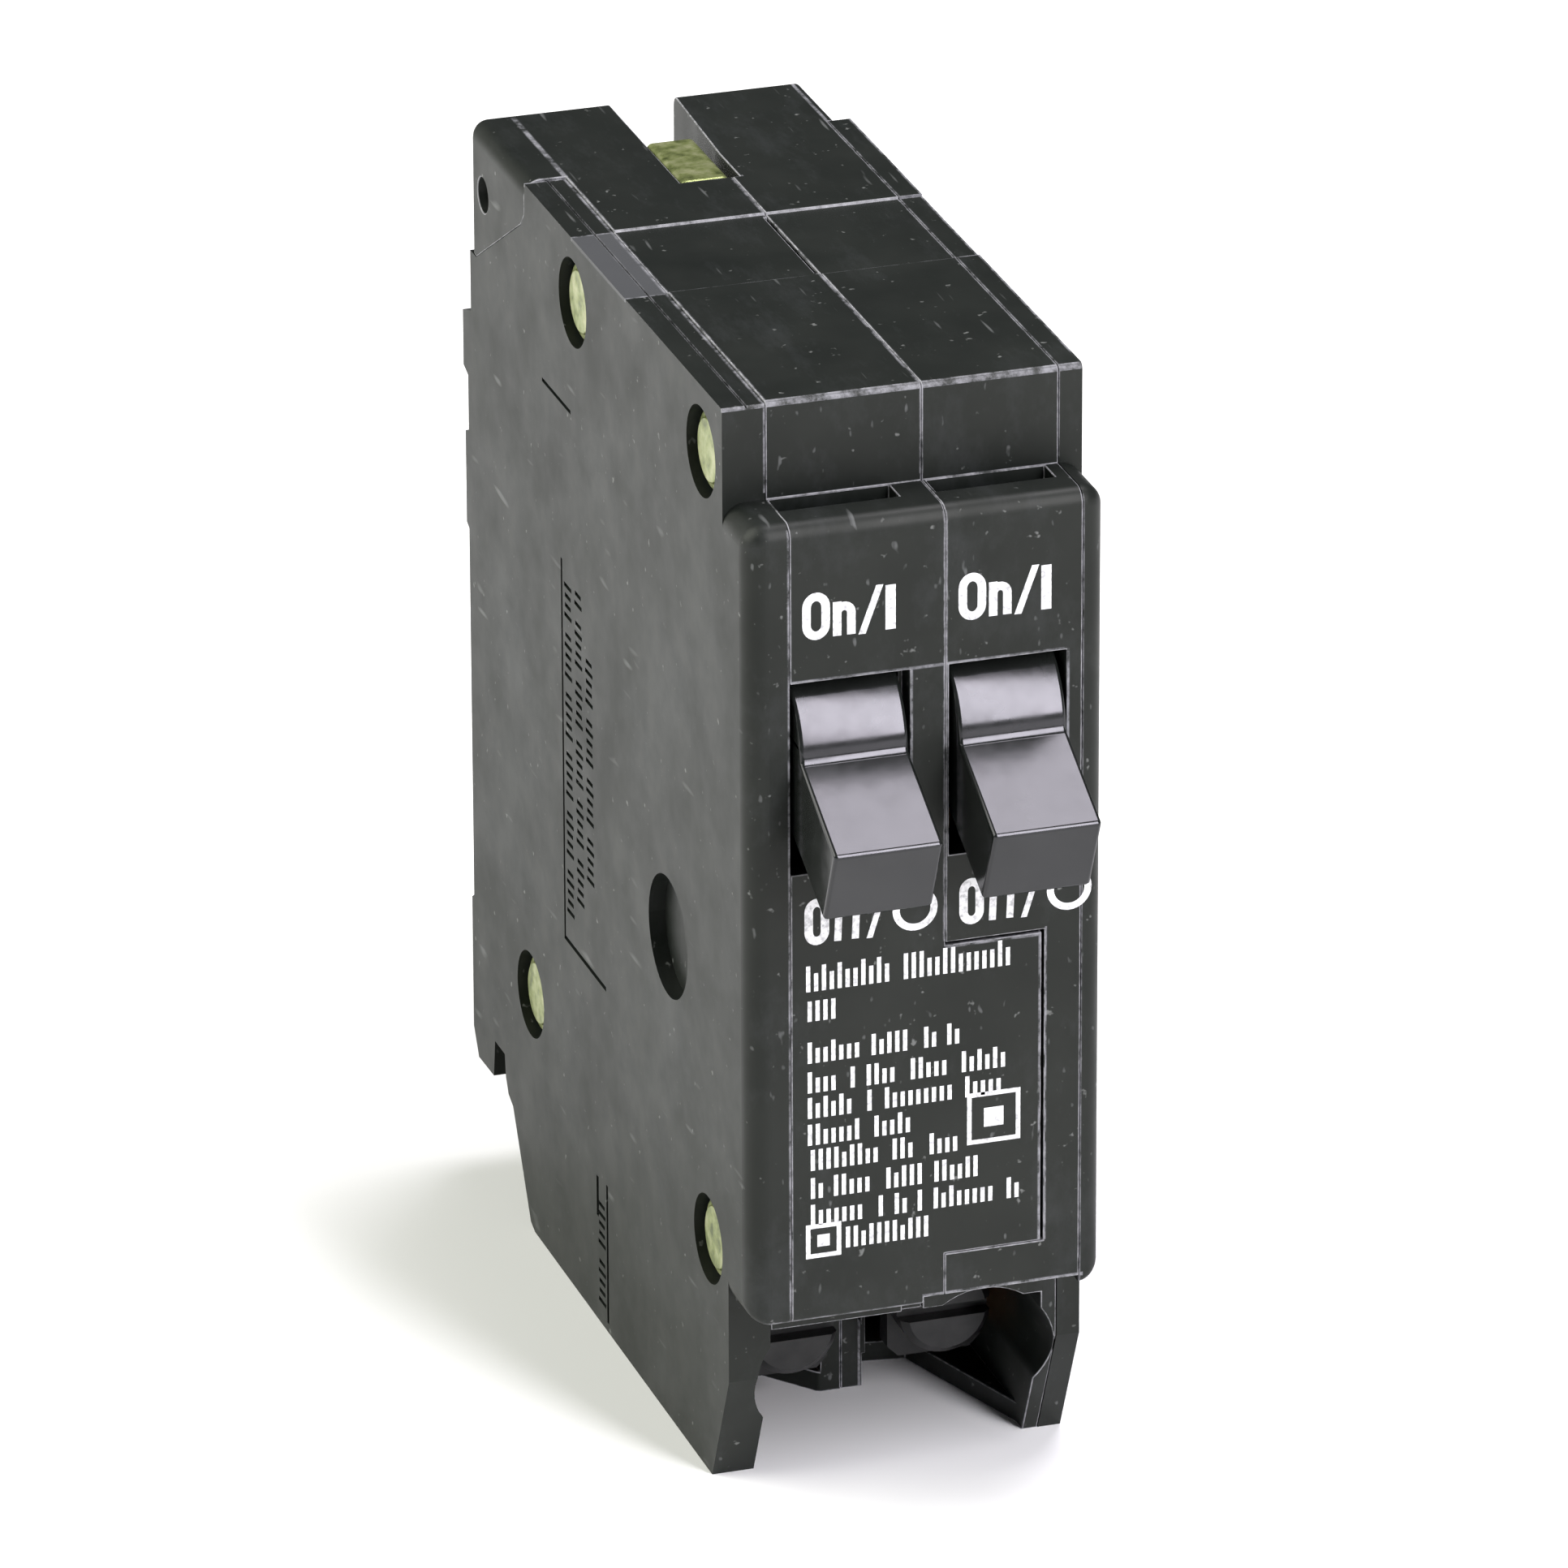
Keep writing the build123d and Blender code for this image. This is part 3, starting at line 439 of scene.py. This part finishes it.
# ---- print on the nose ----
# Print is drawn in millimetres on the nose face: x from the case's left face, z from the load end.
class Print:
    """Flat print in ink, made of ribbons and bars, as one thin solid piece."""

    def __init__(self):
        self.bm = bmesh.new()
        self.strokes = 0

    def face(self, corners):
        """One flat face; strokes lie in three layers, so that crossing ones don't share a plane."""
        lift = PRINT_LIFT * (1 + 0.15 * (self.strokes % 3))
        places = [(LEFT_EDGE + x * MM, NOSE_FACE - lift, z * MM) for x, z in corners]
        self.bm.faces.new([self.bm.verts.new(place) for place in places])

    def bar(self, x, z, width, height):
        self.strokes += 1
        self.face([(x, z), (x + width, z), (x + width, z + height), (x, z + height)])

    def ribbon(self, path, width, closed=False):
        """A stroke of even width along a path, with mitred corners."""
        self.strokes += 1
        count = len(path)
        sides = []
        for number, point in enumerate(path):
            before = path[number - 1] if closed or number else point
            after = path[(number + 1) % count] if closed or number < count - 1 else point
            first = Vector(point) - Vector(before)
            second = Vector(after) - Vector(point)
            first = first.normalized() if first.length else second.normalized()
            second = second.normalized() if second.length else first
            across = Vector((-(first.y + second.y), first.x + second.x)).normalized()
            reach = width / 2 / max(0.5, across.dot(Vector((-second.y, second.x))))
            sides.append((Vector(point) + across * reach, Vector(point) - across * reach))
        for number in range(count if closed else count - 1):
            one, two = sides[number], sides[(number + 1) % count]
            self.face([one[1], two[1], two[0], one[0]])

    def finish(self, name):
        bmesh.ops.remove_doubles(self.bm, verts=self.bm.verts, dist=1e-7)
        bmesh.ops.recalc_face_normals(self.bm, faces=self.bm.faces)
        mesh = bpy.data.meshes.new(name)
        self.bm.to_mesh(mesh)
        self.bm.free()
        piece = bpy.data.objects.new(name, mesh)
        bpy.context.scene.collection.objects.link(piece)
        mesh.materials.append(INK)
        skin = piece.modifiers.new("thickness", "SOLIDIFY")
        skin.thickness = 1.5 * PRINT_LIFT
        skin.offset = 0
        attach(piece, "case")


def arc(middle, radii, start, end, steps=12):
    """Points on an ellipse's arc, from one angle in degrees to another."""
    points = []
    for step in range(steps + 1):
        angle = math.radians(start + (end - start) * step / steps)
        points.append((middle[0] + radii[0] * math.cos(angle), middle[1] + radii[1] * math.sin(angle)))
    return points


LETTER_HEIGHT = 3.2
STROKE = 0.6


def letter_o(sheet, x, z, width=1.95, height=LETTER_HEIGHT + 0.2, stroke=STROKE):
    """Narrow O: straight sides and round ends."""
    reach = (width - stroke) / 2
    middle = x + width / 2
    bend = 1.15 * reach
    top = arc((middle, z + height - 0.1 - stroke / 2 - bend), (reach, bend), 0, 180)
    bottom = arc((middle, z - 0.1 + stroke / 2 + bend), (reach, bend), 180, 360)
    sheet.ribbon(top + bottom, stroke, closed=True)
    return x + width


def letter_n(sheet, x, z, width=1.6, stroke=STROKE):
    height = 2.45
    sheet.bar(x, z, stroke, height)
    reach = (width - stroke) / 2
    hook = arc((x + width / 2, z + height - 0.1 - stroke / 2 - 0.45), (reach, 0.5), 160, 0, 8)
    sheet.ribbon(hook + [(x + width - stroke / 2, z)], stroke)
    return x + width


def letter_f(sheet, x, z, width=1.15, stroke=0.5):
    hook = arc((x + width - 0.1, z + LETTER_HEIGHT - 0.75), (width - 0.1 - stroke, 0.5), 90, 180, 6)
    sheet.ribbon(hook + [(x + stroke / 2 + 0.15, z)], stroke)
    sheet.bar(x, z + 1.9, width, 0.4)
    return x + width


def slash(sheet, x, z, width=1.75, stroke=0.5):
    sheet.face([(x, z - 0.1), (x + stroke, z - 0.1), (x + width, z + LETTER_HEIGHT + 0.1),
                (x + width - stroke, z + LETTER_HEIGHT + 0.1)])
    return x + width


def upright(sheet, x, z):
    sheet.bar(x, z, 0.72, LETTER_HEIGHT)


ON_HEIGHT = 65.25
OFF_HEIGHT = 43.0
LEGEND_STARTS = {"left": 3.9, "right": 14.9}   # where each pole's legends start


def make_legends():
    for side, start in LEGEND_STARTS.items():
        on = Print()
        x = letter_o(on, start, ON_HEIGHT) + 0.2
        x = letter_n(on, x, ON_HEIGHT) + 0.2
        x = slash(on, x, ON_HEIGHT) + 0.15
        upright(on, x, ON_HEIGHT)
        on.finish(f"legend_on_{side}")
        off = Print()
        x = letter_o(off, start + 0.1, OFF_HEIGHT, 1.75) + 0.2
        x = letter_f(off, x, OFF_HEIGHT) + 0.1
        x = letter_f(off, x, OFF_HEIGHT) + 0.05
        x = slash(off, x, OFF_HEIGHT, 1.5, 0.42) + 0.35
        off.ribbon(arc((x + 1.6, OFF_HEIGHT + 1.6), (1.35, 1.35), 0, 345, 32), 0.5, closed=True)
        off.finish(f"legend_off_{side}")


# Rows of small print: height of the base line, where it starts, how long each run of ticks is, tick height
PRINT_ROWS = [
    (39.5, 4.1, (6.2, 7.6), 1.9),
    (37.3, 4.2, (2.0,), 1.5),
    (34.2, 4.2, (3.8, 3.0, 0.9, 0.9), 1.55),
    (32.0, 4.2, (2.3, 0.4, 2.4, 2.9, 3.2), 1.55),
    (30.1, 4.2, (3.5, 0.5, 5.0, 3.0), 1.55),
    (28.1, 4.2, (4.0, 2.9), 1.55),
    (26.2, 4.4, (5.1, 1.9, 2.2), 1.55),
    (24.1, 4.4, (0.9, 3.0, 2.7, 3.2), 1.55),
    (22.1, 4.4, (4.1, 0.4, 0.9, 0.4, 4.5, 0.9), 1.55),
    (20.1, 6.9, (6.1,), 1.55),
]
TICK_PITCH = 0.56
TICK_WIDTH = 0.3
TALL_SHARE = 0.3                                   # share of the ticks that are tall
SHORT_TICK = 0.7                                   # height of the others, as a share of a tall one
RUN_GAP = 0.75
SQUARE_MARKS = ((17.5, 28.4, 1.75), (5.3, 20.9, 1.1))   # middle, height and half width


def make_small_print():
    """Small print as plain ticks in two heights, which spell nothing, and two plain square marks."""
    chance = random.Random(7)
    sheet = Print()
    for base, start, runs, tall in PRINT_ROWS:
        x = start
        for run in runs:
            for number in range(max(1, round(run / TICK_PITCH))):
                height = tall if number == 0 or chance.random() < TALL_SHARE else tall * SHORT_TICK
                sheet.bar(x + number * TICK_PITCH, base, TICK_WIDTH, height)
            x += run + RUN_GAP
    for middle, height, half in SQUARE_MARKS:
        turns = ((-half, -half), (half, -half), (half, half), (-half, half))
        corners = [(middle + across, height + up) for across, up in turns]
        sheet.ribbon(corners, 0.32, closed=True)
        sheet.bar(middle - half * 0.4, height - half * 0.4, half * 0.8, half * 0.8)
    sheet.finish("small_print")


make_camera()
make_stage()
finish_nodes()
make_legends()
make_small_print()
